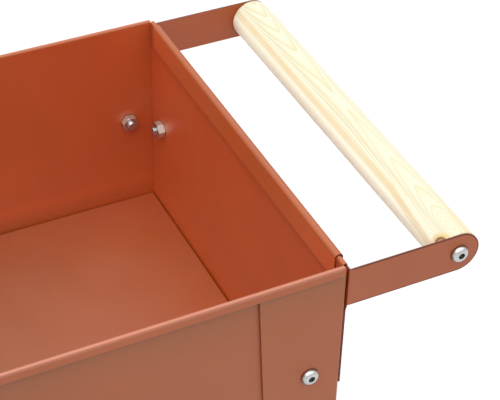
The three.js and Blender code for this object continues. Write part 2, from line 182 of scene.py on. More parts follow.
class PlanterColours(bpy.types.PropertyGroup):
    """Colours of the finishes"""

    coat: colour("Coat", "Powder coat outside the box", (0.296, 0.0655, 0.0115))
    # Painted light: the inner coat is a brighter copy of the outer coat, standing in for the light inside the box
    coat_lit_inside: colour("Inner coat", "Powder coat inside the box", (0.455, 0.083, 0.018))
    # Painted shade: the edge colours are darker than the coat, for a thinner coat over the cut and for the shade
    # along the edges; the hooks' inner copy is brighter as painted light
    shaded_cut_edge: colour("Cut edge", "Coat over the brackets' cut edges", (0.09, 0.014, 0.006))
    hook_edge_lit_inside: colour("Hook edge", "Coat over the hooks' cut edges inside the box", (0.38, 0.06, 0.016))
    shaded_leg_edge: colour("Leg edge", "Coat over the cut edges of legs and panels", (0.2, 0.03, 0.01))
    early_wood: colour("Early wood", "Pale wood between the growth lines", (0.505, 0.482, 0.365))
    late_wood: colour("Late wood", "Growth lines", (0.40, 0.36, 0.17))
    # Painted light: the pale wood, as bright as wood can be, lies on the lower side of a dowel facing -X, which lies
    # in shade; pine's sapwood is paler too
    sapwood_and_light: colour("Sapwood", "Paler wood beside the streaks", (1.0, 1.0, 0.84))
    amber_wood: colour("Amber wood", "Resin streaks and the wood round a knot", (0.50, 0.285, 0.015))
    knot: colour("Knot", "Heart of a knot", (0.42, 0.15, 0.04))
    bark: colour("Knot ring", "Dark ring round a knot", (0.13, 0.04, 0.006))
    zinc: colour("Zinc", "Plating of the bolts and nuts", (0.58, 0.59, 0.585))
    nut_zinc: colour("Nut", "Satin plating of the nuts' flats", (0.82, 0.84, 0.76))
    # Painted shade: the socket's colour is a duller, darker plating that also stands in for the shade in the hollow
    socket: colour("Socket", "Dull plating inside a bolt's socket", (0.11, 0.12, 0.11))
    brass: colour("Brass", "Threaded inserts", (0.70, 0.52, 0.28))
    rubber: colour("Foot plastic", "Foot caps", (0.035, 0.032, 0.03))
    floor: colour("Studio floor", "Floor under the planter", (0.56, 0.56, 0.56))


class PlanterStudio(bpy.types.PropertyGroup):
    """Camera and light"""

    focal: bpy.props.FloatProperty(
        name="Focal length", description="Lens in millimetres on a 36 mm sensor", default=110.689)
    eye: place("Eye", "Place of the camera", (-0.05703, -0.87266, 1.51762))
    turn: angle("Turn", "Camera's turn to the right of the planter's depth", 26.903)
    tilt: angle("Tilt", "Camera's tilt down from level", 39.059)
    roll: angle("Roll", "Camera's roll to the left", 1.6265)
    horizon: amount("Horizon", "Brightness of the light from the sides", 0.65, 10)
    zenith: amount("Zenith", "Brightness of the light from straight above", 3.05, 10)
    key: bpy.props.FloatProperty(
        name="Key", description="Power of the key light", default=12, min=0, unit="POWER")
    key_size: length("Key size", "Side of the key light's square", 1.4)
    key_place: place("Key place", "Place of the key light", (-0.6, -0.5, 2.6))
    key_target: place("Key target", "Point that the key light faces", (0.2, 0, 0.75))
    floor_reach: length("Floor reach", "From the planter to the studio floor's edge", 12)


# Meshes

TOUCH = 0.001 * MM  # Points closer than this are one
SLACK = 0.01 * MM  # Keeps two bevels from meeting, and a cut from missing an edge
HOLE_CELL = 8 * MM  # Half the side of the square in which a bolt's hole is cut
DRAIN_CELL = 9 * MM  # The same for a drain hole


def near(point, axis, value):
    return abs(getattr(point, axis) - value) < TOUCH


def verts_in(geometry):
    return [part for part in geometry if isinstance(part, bmesh.types.BMVert)]


def edges_in(geometry):
    return [part for part in geometry if isinstance(part, bmesh.types.BMEdge)]


def edges_at(edges, test=lambda point: True, **places):
    """Edges with both ends at the given coordinates, such as z=0, where a test holds as well"""
    def held(point):
        return test(point) and all(near(point, axis, value) for axis, value in places.items())

    return [e for e in edges if held(e.verts[0].co) and held(e.verts[1].co)]


def polyline(bm, points):
    """An open chain of edges through the points"""
    verts = [bm.verts.new(point) for point in points]
    return [bm.edges.new(pair) for pair in zip(verts, verts[1:])]


def sweep(bm, edges, by):
    """Extrudes edges and moves what is new, which is returned as its edges"""
    new = bmesh.ops.extrude_edge_only(bm, edges=edges)["geom"]
    bmesh.ops.translate(bm, verts=verts_in(new), vec=by)
    return edges_in(new)


def lift(bm, face, rise):
    """Extrudes a face upwards"""
    new = bmesh.ops.extrude_face_region(bm, geom=[face])["geom"]
    bmesh.ops.translate(bm, verts=verts_in(new), vec=(0, 0, rise))


def soften(bm, geometry, radius, steps, kind="EDGES"):
    """Rounds edges or corners"""
    bmesh.ops.bevel(bm, geom=geometry, offset=radius, offset_type="OFFSET", affect=kind, segments=steps,
                    profile=0.5, material=-1, clamp_overlap=True)


def face_at(bm, point):
    """The flat face that a point lies on"""
    for face in bm.faces:
        height = abs((point - face.verts[0].co).dot(face.normal))
        if height < TOUCH and bmesh.geometry.intersect_face_point(face, point):
            return face
    raise RuntimeError("No face lies at %s" % point)


def pierce(bm, centre, axis, radius, cell, steps):
    """Cuts a round hole in a flat face: a square cell's rim is drawn in to an evenly stepped ring"""
    centre = Vector(centre)
    across = X_AXIS if abs(axis.z) > 0.5 else Z_AXIS
    upright = axis.cross(across)
    bm.normal_update()
    for way in (across, -across, upright, -upright):
        face = face_at(bm, centre)
        bmesh.ops.bisect_plane(bm, geom=[face, *face.edges, *face.verts], dist=SLACK, plane_co=centre + way * cell,
                               plane_no=way)
        bm.normal_update()
    hole = face_at(bm, centre)
    sides = list(hole.edges)
    bmesh.ops.delete(bm, geom=[hole], context="FACES_ONLY")
    divided = bmesh.ops.subdivide_edges(bm, edges=sides, cuts=steps // 4 - 1)
    rim = list(dict.fromkeys(edges_in(divided["geom_inner"] + divided["geom_split"])))
    for vert in verts_in(bmesh.ops.extrude_edge_only(bm, edges=rim)["geom"]):
        right, up = (vert.co - centre).dot(across), (vert.co - centre).dot(upright)
        if abs(right) >= abs(up):
            turn = up / right * math.pi / 4 + (math.pi if right < 0 else 0)
        else:
            turn = math.pi / 2 - right / up * math.pi / 4 + (math.pi if up < 0 else 0)
        vert.co = centre + (across * math.cos(turn) + upright * math.sin(turn)) * radius


def bolt_hole(bm, *centre, axis):
    pierce(bm, centre, axis, bpy.context.scene.planter_legs.hole / 2, HOLE_CELL, 32)


def placed(bm, matrix):
    """Moves, turns or mirrors a whole mesh"""
    bmesh.ops.transform(bm, matrix=matrix, verts=bm.verts)


def turned(points, steps):
    """A body of revolution about Z, from points of radius and height"""
    bm = bmesh.new()
    polyline(bm, [(r, 0, z) for r, z in points])
    bmesh.ops.spin(bm, geom=bm.verts[:] + bm.edges[:], cent=(0, 0, 0), axis=Z_AXIS, angle=math.tau, steps=steps,
                   use_merge=True)
    return bm


def aim(axis, sign, place, turn=0.0):
    """Carries a fastener from the origin and +Z to its place along +X, -X, +Y or -Y"""
    about = "Y" if axis == "x" else "X"
    quarter = math.pi / 2 * (sign if axis == "x" else -sign)
    return Matrix.Translation(place) @ Matrix.Rotation(quarter, 4, about) @ Matrix.Rotation(turn, 4, "Z")


def finish_piece(name, bm, node, finishes, modifiers, sign_x=1, sign_y=1):
    """Turns a bmesh into a piece that stands for a node and rides with it. The signs carry what is made at the
    right and the back over to the left and the front"""
    placed(bm, Matrix.Diagonal((sign_x, sign_y, 1, 1)))
    bmesh.ops.remove_doubles(bm, verts=bm.verts, dist=TOUCH)
    bmesh.ops.recalc_face_normals(bm, faces=bm.faces)
    mesh = bpy.data.meshes.new(name)
    bm.to_mesh(mesh)
    bm.free()
    mesh.shade_smooth()
    for finish in finishes:
        mesh.materials.append(material(finish))
    piece = bpy.data.objects.new(name, mesh)
    bpy.context.collection.objects.link(piece)
    for kind, settings in modifiers:
        modifier = piece.modifiers.new(kind.title(), kind)
        for key, value in settings.items():
            setattr(modifier, key, value)
    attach(piece, "root")
    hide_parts(node)


def rounding(width, segments=2, limit=40):
    """Modifiers that round the sharp edges and keep the flats flat"""
    return [
        ("BEVEL", {"width": width, "segments": segments, "limit_method": "ANGLE",
                   "angle_limit": math.radians(limit), "use_clamp_overlap": True}),
        ("WEIGHTED_NORMAL", {"keep_sharp": True, "weight": 80}),
    ]


def finish_sheet(name, bm, node, thickness, sign_x=1, sign_y=1, edge="shaded_leg_edge"):
    """A bent sheet: the middle surface gets its thickness and its cut edges"""
    sheet = bpy.context.scene.planter_sheet
    thicken = ("SOLIDIFY", {"thickness": thickness, "offset": 0, "use_even_offset": True,
                            "use_rim": True, "material_offset_rim": 1})
    width = sheet.bracket_round if edge == "shaded_cut_edge" else sheet.edge_round
    finish_piece(name, bm, node, ("coat", edge), [thicken, *rounding(width)], sign_x, sign_y)


# Materials


def arithmetic(operation):
    """A method that works something out from a signal and a number or another signal"""
    return lambda self, other: calculate(operation, self, other)


class Signal:
    """What a node's socket gives. Arithmetic with numbers and other signals adds the math nodes for it"""

    __add__ = arithmetic("ADD")
    __sub__ = arithmetic("SUBTRACT")
    __mul__ = arithmetic("MULTIPLY")
    __truediv__ = arithmetic("DIVIDE")
    __pow__ = arithmetic("POWER")
    most = arithmetic("MAXIMUM")

    def __init__(self, socket):
        self.socket = socket
        self.tree = socket.id_data

    def __rsub__(self, other):
        return calculate("SUBTRACT", other, self)

    def __abs__(self):
        return calculate("ABSOLUTE", self)

    def ranged(self, low, high, to_low=0, to_high=1):
        """Maps a range to another one, and holds its ends beyond it"""
        node = add_node(self.tree, "ShaderNodeMapRange", Value=self, From_Min=low, From_Max=high, To_Min=to_low,
                        To_Max=to_high)
        return Signal(node.outputs["Result"])

    def past(self, place, low, high, end=1):
        """0 up to low millimetres past a place, the end value from high millimetres on"""
        return self.ranged(place + low * MM, place + high * MM, 0, end)

    def before(self, place, low, high, end=0):
        """1 up to low millimetres past a place, the end value from high millimetres on"""
        return self.ranged(place + low * MM, place + high * MM, 1, end)


def tree_of(*values):
    """The node tree of the first signal among the values"""
    return next(value.tree for value in values if isinstance(value, Signal))


def calculate(operation, *values):
    """A math node on numbers and signals"""
    node = tree_of(*values).nodes.new("ShaderNodeMath")
    node.operation = operation
    for socket, value in zip(node.inputs, values):
        connect(socket, value)
    return Signal(node.outputs[0])


def connect(socket, value):
    """Links a signal to a socket, or sets the socket to a plain value"""
    if isinstance(value, Signal):
        value.tree.links.new(value.socket, socket)
    else:
        socket.default_value = value


def feed(node, **inputs):
    """Connects a node's sockets by name, with spaces written as underscores"""
    for key, value in inputs.items():
        connect(node.inputs[key.replace("_", " ")], value)


def add_node(tree, kind, **inputs):
    node = tree.nodes.new(kind)
    feed(node, **inputs)
    return node


def axes(vector):
    """X, Y and Z of a vector"""
    return [Signal(socket) for socket in add_node(vector.tree, "ShaderNodeSeparateXYZ", Vector=vector).outputs]


def distance(first, second):
    """Length of the diagonal of two sides"""
    return calculate("SQRT", first ** 2 + second ** 2)


def mapped(vector, **inputs):
    return Signal(add_node(vector.tree, "ShaderNodeMapping", Vector=vector, **inputs).outputs["Vector"])


def noise(vector, scale, detail, roughness=0.5):
    node = add_node(vector.tree, "ShaderNodeTexNoise", Vector=vector, Scale=scale, Detail=detail,
                    Roughness=roughness)
    return Signal(node.outputs["Fac"])


def bumped(height, depth):
    """A normal for a relief of the given depth"""
    node = add_node(height.tree, "ShaderNodeBump", Strength=1, Distance=depth, Height=height)
    return Signal(node.outputs["Normal"])


def mix(factor, first, second, blend="MIX"):
    """A mix of two colours"""
    node = tree_of(factor, first, second).nodes.new("ShaderNodeMix")
    node.data_type = "RGBA"
    node.blend_type = blend
    first, second = (value if isinstance(value, Signal) else (*value, 1) for value in (first, second))
    for index, value in ((0, factor), (6, first), (7, second)):
        connect(node.inputs[index], value)
    return Signal(node.outputs[2])


def scaled(value, factor):
    return tuple(channel * factor for channel in value)


def powder_coat(shader, where, outside, inside):
    """Satin powder coat with painted light and shade: a brighter copy inside the box as painted light, painted shade
    where folds, corners, gaps and bolts keep the light off, painted light low on the walls, with faint clouds in the
    colour and a fine orange peel"""
    sheet = bpy.context.scene.planter_sheet
    handle = bpy.context.scene.planter_handle
    head = bpy.context.scene.planter_fasteners.head / 2
    wall_x = END_HIGH.x - sheet.roll_width
    wall_y = PANEL_HIGH.y - sheet.roll_width
    rim = PANEL_HIGH.z
    hem = rim - sheet.roll_drop
    lip = rim - handle.lip
    along, depth, z = axes(where)
    x, y = abs(along), abs(depth)
    up = z - TRAY_HIGH.z

    # Masks: 1 on the part of the surface that they name, 0 elsewhere
    indoors = x.before(wall_x, 0.4, 0.8) * y.before(wall_y, 0.4, 0.8) * z.before(rim, -2.5, -1)
    outdoors = (1 - indoors) * x.before(END_HIGH.x, 0, 0.2)
    off_floor = up.past(0, 0, 20)
    on_end = x.past(TRAY_HIGH.x, 0.3, 0.6)
    on_wall = indoors * on_end.most(y.past(TRAY_HIGH.y, 0.3, 0.6))
    on_floor = indoors * (1 - on_wall)
    side_wall = indoors * off_floor * (1 - on_end)
    end_wall = on_wall * on_end
    past_end = x.past(END_HIGH.x, 2, 4)
    outermost = y.past(BRACKET_HIGH.y, -2, -1.5)
    arms = past_end * outermost
    # Painted shade: in the gap beside each leg, and round the rim of each arm's face
    groove_shade = x.past(END_HIGH.x, -0.6, -0.4) * x.before(END_HIGH.x, 0.35, 0.65) * outermost
    off_axis = distance((x - DOWEL_CENTRE.x).most(0), z - DOWEL_CENTRE.z)
    arm_edge_shade = arms * off_axis.past(handle.arm_width / 2, -1.1, -0.7) * y.past(BRACKET_HIGH.y, -0.4, -0.25)
    # Painted shade: a dark ring round each bolt's head and nut
    contact_shade = 0
    for across, place_across, place_up in ((x, SIDE_BOLT.x, SIDE_BOLT.z), (y, END_BOLT.y, END_BOLT.z),
                                           (x, DOWEL_CENTRE.x, DOWEL_CENTRE.z)):
        contact_shade = distance(across - place_across, z - place_up).before(head, -0.2, 0.8).most(contact_shade)

    # Painted light: the brighter inner coat inside the box, reaching part way onto the floor towards its ends
    tone = mix(indoors * off_floor.most(x.past(0, 50, 360, 0.35)), outside, inside)
    for mask, tint in (
            # Painted shade below the rolled edges, a warmer tint on their outer faces, and painted shade on the
            # hooks' tops over them, which dims their highlight
            (outdoors * z.before(hem, -0.2, 0) * z.past(hem, -9, -1).most(z.past(hem, -40, 0, 0.5)),
             (0.74, 0.95, 0.86)),
            (outdoors * z.past(hem, -0.2, 0), (1.08, 1.02, 0.84)),
            (z.past(rim, 0.2, 0.6), (0.9, 0.9, 0.9)),
            # Painted shade under the hook's lip inside the box
            (indoors * x.past(wall_x, -0.15, -0.05) * z.past(lip, -11, -0.5), (0.8, 0.9, 0.95)),
            # Painted shade on the middle of the floor
            (indoors * (1 - off_floor) * x.before(0, 200, 350), (0.76, 0.84, 0.78)),
            # Painted light on the side walls near the corners and low down
            (side_wall * up.before(0, -1, 149).most(x.past(0, 310, 360) * up.before(0, 79, 179, 0.4)),
             (1.18, 1.14, 1.12)),
            # Painted light on the end walls near the back corners
            (end_wall * depth.past(0, 50, 130) * up.before(0, 139, 179, 0.3), (1.16, 1.13, 1.12)),
            # Painted light on the side walls beside the end walls, and painted shade on the end walls' upper part
            (side_wall * x.past(0, 325, 360), (0.99, 1.1, 1.12)),
            (end_wall * up.past(0, 139, 161), (0.98, 0.92, 0.86)),
            # Painted light on all walls at their foot, where the floor lights them, and painted shade higher up
            (on_wall * up.before(0, 0, 32) ** 2, (1.62, 1.4, 1.05)),
            (on_wall * up.past(0, 29, 164), (1, 0.86, 0.78)),
            # Painted shade over the whole floor, and painted light on its strips along the side walls
            (on_floor, (0.94, 0.93, 0.93)),
            (on_floor * y.past(0, 90, 165), (1.14, 0.98, 1)),
            # Painted light on the back half of the handles, a tint on the arms, painted shade in the gaps beside the
            # legs and round the arms' punched edges
            (past_end * depth.past(0, 0, 100), (1.18, 1.08, 0.9)),
            (arms, (1.02, 0.92, 0.6)),
            (groove_shade, (1, 0.45, 0.45)),
            (arm_edge_shade, (0.48, 0.38, 0.28)),
            # Painted shade close to bolts' heads and nuts
            (contact_shade, (0.3, 0.3, 0.3)),
            # Clouds and specks
            (noise(where, 9, 3).ranged(0.3, 0.7), (0.9, 0.9, 0.9)),
            (noise(where, 1400, 1).ranged(0.35, 0.65, 0, 0.12), (0.9, 0.9, 0.9)),
    ):
        tone = mix(mask, tone, tint, "MULTIPLY")

    # Specular level: raised inside the box, and on the front rolled edge alone for a stronger highlight there;
    # lowered where shade is painted and on the middle of the floor
    front_roll = depth.before(-wall_y, -0.2, 0) * z.past(rim, -2.8, -2, 0.6)
    middle_floor = on_floor * y.before(0, 15, 125)
    feed(shader, Base_Color=tone, Roughness=noise(where, 22, 3).ranged(0.3, 0.7, 0.40, 0.48),
         Normal=bumped(noise(where, 520, 2), 0.04 * MM),
         Specular_IOR_Level=(indoors.ranged(0, 1, 0.6, 1.1) + front_roll) * contact_shade.ranged(0, 1, 1, 0.3)
         * groove_shade.ranged(0, 1, 1, 0.3) * arm_edge_shade.ranged(0, 1, 1, 0.4) * middle_floor.ranged(0, 1, 1, 0.66))


def pine(shader, where, centre, grain, colours):
    """Pine: growth lines as a saddle over a dowel's top, a bundle of amber streaks, rings and knots"""
    local = mapped(where, Location=tuple(-centre))
    across, along, up = axes(local)
    # Turn about the dowel from its top towards the box, in radians
    turn = calculate("ARCTAN2", across * -1, up)
    drift = noise(mapped(local, Scale=(1, 0.12, 1)), 40, 2)
    phase = turn ** 2 * grain["rings"] - (along / grain["bow"]) ** 2 + drift * 2.2
    heart, halo, ring = 0, 0, 0
    for place_along, place_turn, size_along, size_turn, swell, dark in grain["knots"]:
        away = distance((along - place_along) / size_along, (turn - place_turn) / size_turn)
        phase = phase - calculate("EXPONENT", away ** 2 * -1) * swell
        if dark:
            heart = away.ranged(0.6, 0.85, dark, 0).most(heart)
            halo = away.ranged(0.9, 1.9, dark, 0).most(halo)
            ring = (away.ranged(0.62, 0.8, 0, dark) * away.ranged(0.9, 1.12, 1, 0)).most(ring)
    late = calculate("FRACT", phase) ** 3
    fibre = noise(mapped(local, Scale=(1, 0.015, 1)), 700, 3)
    # The streaks wander round the dowel near its front end
    wander = turn - along.ranged(-100 * MM, -165 * MM, 0, grain["wander"]) + drift * 0.1
    amber = 0
    for low, high, lines, strength in grain["streaks"]:
        band = wander.ranged(low - 0.08, low + 0.04, 0, strength) * wander.ranged(high - 0.04, high + 0.06, 1, 0)
        stripe = calculate("FRACT", (wander - low) * (lines / (high - low))) ** 3
        amber = (band * stripe.ranged(0, 1, 0.35, 1)).most(amber)
    # Painted light: the pale side is as bright as wood can be and lifts the shaded lower side facing -X; pale
    # sapwood is real in pine too
    pale_side = turn.ranged(grain["pale_side"] - 0.6, grain["pale_side"] + 0.1)
    tone = colours.early_wood
    for factor, wood in (
            (pale_side, colours.sapwood_and_light), (late * drift.ranged(0.35, 0.65, 0.5, 1), colours.late_wood),
            (amber * fibre.ranged(0.3, 0.7, 0.6, 1), colours.amber_wood), (halo * 0.8, colours.amber_wood),
            (heart, colours.knot), (ring, colours.bark)):
        tone = mix(factor, tone, wood)
    feed(shader, Base_Color=tone, Roughness=fibre.ranged(0.3, 0.7, 0.5, 0.62),
         Normal=bumped(late * 0.4 + fibre, 0.06 * MM), Sheen_Weight=0.45, Sheen_Roughness=0.5,
         Sheen_Tint=(1, 0.95, 0.8, 1))


def zinc(shader, where, base, roughness):
    """Zinc plate with faint clouds and a fine grain"""
    clouds = noise(where, 160, 3)
    feed(shader, Base_Color=mix(clouds.ranged(0.35, 0.65), base, scaled(base, 0.86)), Metallic=1,
         Roughness=clouds.ranged(0.3, 0.7, roughness, roughness + 0.12),
         Normal=bumped(noise(where, 2600, 2), 0.012 * MM))


def brass(shader, where, base):
    """Turned brass with tool marks round the insert"""
    wave = add_node(where.tree, "ShaderNodeTexWave", Vector=where, Scale=900, Distortion=1.5)
    wave.bands_direction = "Y"
    marks = Signal(wave.outputs["Fac"])
    feed(shader, Base_Color=mix(marks, base, scaled(base, 0.8)), Roughness=marks.ranged(0, 1, 0.25, 0.4),
         Metallic=1, Normal=bumped(marks, 0.03 * MM))


def plastic(shader, where, base):
    """Moulded plastic with a fine eroded grain"""
    grain = noise(where, 1500, 3, 0.7)
    feed(shader, Base_Color=mix(grain, base, scaled(base, 1.8)), Roughness=grain.ranged(0.3, 0.7, 0.5, 0.72),
         Normal=bumped(grain, 0.08 * MM))


def pale_floor(shader, where, base):
    """Pale studio floor, all but even"""
    clouds = noise(where, 1.5, 2)
    feed(shader, Base_Color=mix(clouds, base, scaled(base, 0.985)), Roughness=clouds.ranged(0.3, 0.7, 0.75, 0.85))


def make_material(name, dress, *details):
    """A new material: its finish gets the shader, Object coordinates and the details"""
    made = bpy.data.materials.new(name)
    made.use_nodes = True
    nodes = made.node_tree.nodes
    dress(nodes["Principled BSDF"], Signal(nodes.new("ShaderNodeTexCoord").outputs["Object"]), *details)
    return made


def material(name):
    """A finish by name, made at its first use"""
    if name in bpy.data.materials:
        return bpy.data.materials[name]
    colours = bpy.context.scene.planter_colours
    finishes = {
        # The inner coat and the edges' inner copy are brighter as painted light; the edge finishes are darker as
        # painted shade along the edges; the socket's finish is darker as painted shade in its hollow
        "coat": (powder_coat, colours.coat, colours.coat_lit_inside),
        "shaded_cut_edge": (powder_coat, colours.shaded_cut_edge, colours.hook_edge_lit_inside),
        "shaded_leg_edge": (powder_coat, colours.shaded_leg_edge, colours.shaded_leg_edge),
        "zinc": (zinc, colours.zinc, 0.3),
        "zinc_nut": (zinc, colours.nut_zinc, 0.46),
        "socket_dull_and_shade": (zinc, colours.socket, 0.45),
        "brass_turned": (brass, colours.brass),
        "foot_grain": (plastic, colours.rubber),
        "studio_floor": (pale_floor, colours.floor),
    }
    return make_material(name, *finishes[name])


# Pieces


def wall_profile(sheet, outer, low, high, *stops):
    """A wall's middle surface, as places outwards and up from its bottom flange to its rolled edge's end"""
    half = sheet.panel / 2
    wall = outer - sheet.roll_width + half
    return [(wall - half - sheet.flange, low + half), (wall, low + half), *((wall, stop) for stop in stops),
            (wall, high - half), (outer - half, high - half), (outer - half, high - sheet.roll_drop)]


def bend_wall(bm, sheet, axis, profile):
    """Bends a wall's rolled edge and its bottom flange"""
    (_, bottom), (wall, _), *_, (lip, top), _ = profile
    soften(bm, edges_at(bm.edges, z=top), (lip - wall) / 2 - SLACK, sheet.bend_steps)
    soften(bm, edges_at(bm.edges, z=bottom, **{axis: wall}), sheet.panel_bend, sheet.bend_steps)


class PLANTER_OT_side_panels(bpy.types.Operator):
    """Front and back panel: a wall with a rolled top edge and a bottom flange"""

    bl_idname = "planter.side_panels"
    bl_label = "Front and back panel"

    def execute(self, context):
        sheet = context.scene.planter_sheet
        profile = wall_profile(sheet, PANEL_HIGH.y, PANEL_LOW.z, PANEL_HIGH.z)
        wall = profile[1][0]
        for side, sign in SIDES:
            bm = bmesh.new()
            sweep(bm, polyline(bm, [(PANEL_LOW.x, y, z) for y, z in profile]), (PANEL_HIGH.x - PANEL_LOW.x, 0, 0))
            for place in (-SIDE_BOLT.x, SIDE_BOLT.x):
                bolt_hole(bm, place, wall, SIDE_BOLT.z, axis=Y_AXIS)
            bend_wall(bm, sheet, "y", profile)
            finish_sheet(f"{side}_wall", bm, f"{side}_panel", sheet.panel, 1, sign)
        return {"FINISHED"}


class PLANTER_OT_end_panels(bpy.types.Operator):
    """End panels: as the side panels, with the bottom flange notched at its corners"""

    bl_idname = "planter.end_panels"
    bl_label = "End panels"

    def execute(self, context):
        sheet = context.scene.planter_sheet
        notch = END_LOW.z + 2 * sheet.panel + sheet.seam
        inner = END_HIGH.y - sheet.flange
        profile = wall_profile(sheet, END_HIGH.x, END_LOW.z, END_HIGH.z, notch)
        wall = profile[1][0]
        for end, sign in ENDS:
            bm = bmesh.new()
            sweep(bm, polyline(bm, [(x, -inner, z) for x, z in profile]), (0, 2 * inner, 0))
            for place in (-inner, inner):
                upper = edges_at(bm.edges, lambda p: p.z > notch - TOUCH, y=place)
                sweep(bm, upper, (0, math.copysign(sheet.flange, place), 0))
            bend_wall(bm, sheet, "x", profile)
            bmesh.ops.dissolve_limit(bm, angle_limit=math.radians(1), verts=bm.verts, edges=bm.edges)
            for place in (-END_BOLT.y, END_BOLT.y):
                bolt_hole(bm, wall, place, END_BOLT.z, axis=X_AXIS)
            finish_sheet(f"end_wall_{end}", bm, f"end_panel_{end}", sheet.panel, sign)
        return {"FINISHED"}


class PLANTER_OT_floor(bpy.types.Operator):
    """Floor: an upturned tray with drain holes, on two top-hat stiffeners"""

    bl_idname = "planter.floor"
    bl_label = "Floor and stiffeners"

    def execute(self, context):
        sheet = context.scene.planter_sheet
        self.tray(sheet)
        for end, sign in ENDS:
            self.stiffener(sheet, end, sign)
        return {"FINISHED"}

    def tray(self, sheet):
        half = sheet.floor / 2
        top = TRAY_HIGH.z - half
        size = Vector((2 * (TRAY_HIGH.x - half), 2 * (TRAY_HIGH.y - half), top - TRAY_LOW.z))
        bm = bmesh.new()
        bmesh.ops.create_cube(bm, size=1, matrix=Matrix.Diagonal((*size, 1)))
        bmesh.ops.translate(bm, verts=bm.verts, vec=(0, 0, (top + TRAY_LOW.z) / 2))
        bm.normal_update()
        bmesh.ops.delete(bm, geom=[f for f in bm.faces if f.normal.z < -0.5], context="FACES")
        soften(bm, [e for e in bm.edges if len(e.link_faces) == 2], sheet.floor_bend, sheet.bend_steps)
        for row in (-1, 0, 1):
            for column in (-0.5, 0.5):
                centre = (column * sheet.drain_pitch, row * sheet.drain_pitch, top)
                pierce(bm, centre, Z_AXIS, sheet.drain / 2, DRAIN_CELL, 24)
        finish_sheet("floor_sheet", bm, "floor_tray", sheet.floor)

    def stiffener(self, sheet, end, sign):
        half = sheet.floor / 2
        centre = (STIFFENER_LOW.x + STIFFENER_HIGH.x) / 2
        top = STIFFENER_HIGH.z - half
        bottom = STIFFENER_LOW.z + half
        foot = (STIFFENER_HIGH.x - STIFFENER_LOW.x) / 2
        web = foot - sheet.stiffener_foot - half
        start = STIFFENER_LOW.y
        bm = bmesh.new()
        edges = polyline(bm, [
            (centre - foot, start, top), (centre - web, start, top), (centre - web, start, bottom),
            (centre + web, start, bottom), (centre + web, start, top), (centre + foot, start, top)])
        sweep(bm, edges, (0, STIFFENER_HIGH.y - start, 0))
        soften(bm, [e for e in bm.edges if len(e.link_faces) == 2], sheet.floor_bend, sheet.bend_steps)
        finish_sheet(f"floor_rib_{end}", bm, f"floor_stiffener_{end}", sheet.floor, sign)


class PLANTER_OT_legs(bpy.types.Operator):
    """Legs: bent angles whose flanges narrow towards the foot"""

    bl_idname = "planter.legs"
    bl_label = "Legs"

    def execute(self, context):
        sheet = context.scene.planter_sheet
        legs = context.scene.planter_legs
        half = sheet.leg / 2
        x = LEG_HIGH.x - half
        y = LEG_HIGH.y - half
        top_width = LEG_HIGH.x - LEG_LOW.x
        for corner, sign_x, sign_y in CORNERS:
            bm = bmesh.new()
            bend = polyline(bm, [(x, y, LEG_LOW.z), (x, y, LEG_HIGH.z)])
            for axis, way, middle_of_sheet in (("x", X_AXIS, x), ("y", Y_AXIS, y)):
                free = sweep(bm, bend, -way * (top_width - half))
                foot = dict.fromkeys(v for e in free for v in e.verts
                                     if near(v.co, "z", LEG_LOW.z) and not near(v.co, axis, middle_of_sheet))
                bmesh.ops.translate(bm, verts=list(foot), vec=way * (top_width - legs.foot_width))
            bolt_hole(bm, SIDE_BOLT.x, y, SIDE_BOLT.z, axis=Y_AXIS)
            bolt_hole(bm, x, END_BOLT.y, END_BOLT.z, axis=X_AXIS)
            soften(bm, edges_at(bm.edges, x=x, y=y), sheet.leg_bend, sheet.bend_steps)
            finish_sheet(f"corner_leg_{corner}", bm, f"leg_{corner}", sheet.leg, sign_x, sign_y)
        return {"FINISHED"}


class PLANTER_OT_foot_caps(bpy.types.Operator):
    """Foot caps: moulded angles with a slot for the leg's sheet"""

    bl_idname = "planter.foot_caps"
    bl_label = "Foot caps"

    def execute(self, context):
        legs = context.scene.planter_legs
        low, high = CAP_LOW, CAP_HIGH
        proud = high.x - LEG_HIGH.x
        slant = 0.3 * MM  # Width of the slope from the tread into the recess
        thick = context.scene.planter_sheet.leg + 2 * proud
        for corner, sign_x, sign_y in CORNERS:
            bm = bmesh.new()
            outline = [bm.verts.new(p) for p in (
                (high.x, high.y, 0), (low.x, high.y, 0), (low.x, high.y - thick, 0),
                (high.x - thick, high.y - thick, 0), (high.x - thick, low.y, 0), (high.x, low.y, 0))]
            bm.faces.new(outline)
            soften(bm, [outline[0]], proud + legs.cap_corner, 8, "VERTICES")
            lift(bm, bm.faces[:][0], high.z)
            bmesh.ops.recalc_face_normals(bm, faces=bm.faces)
            top = next(f for f in bm.faces if f.normal.z > 0.5)
            bmesh.ops.inset_region(bm, faces=[top], thickness=legs.cap_wall, use_even_offset=True)
            lift(bm, top, legs.cap_sole - high.z)
            bmesh.ops.delete(bm, geom=[top], context="FACES_ONLY")
            sole = next(f for f in bm.faces if f.normal.z < -0.5 and near(f.verts[0].co, "z", 0))
            for width, rise in ((legs.cap_tread, 0), (slant, -legs.cap_recess)):
                bmesh.ops.inset_region(bm, faces=[sole], thickness=width, depth=rise, use_even_offset=True)
            finish_piece(f"foot_shoe_{corner}", bm, f"foot_cap_{corner}", ["foot_grain"],
                         rounding(legs.cap_round, 3, 35), sign_x, sign_y)
        return {"FINISHED"}


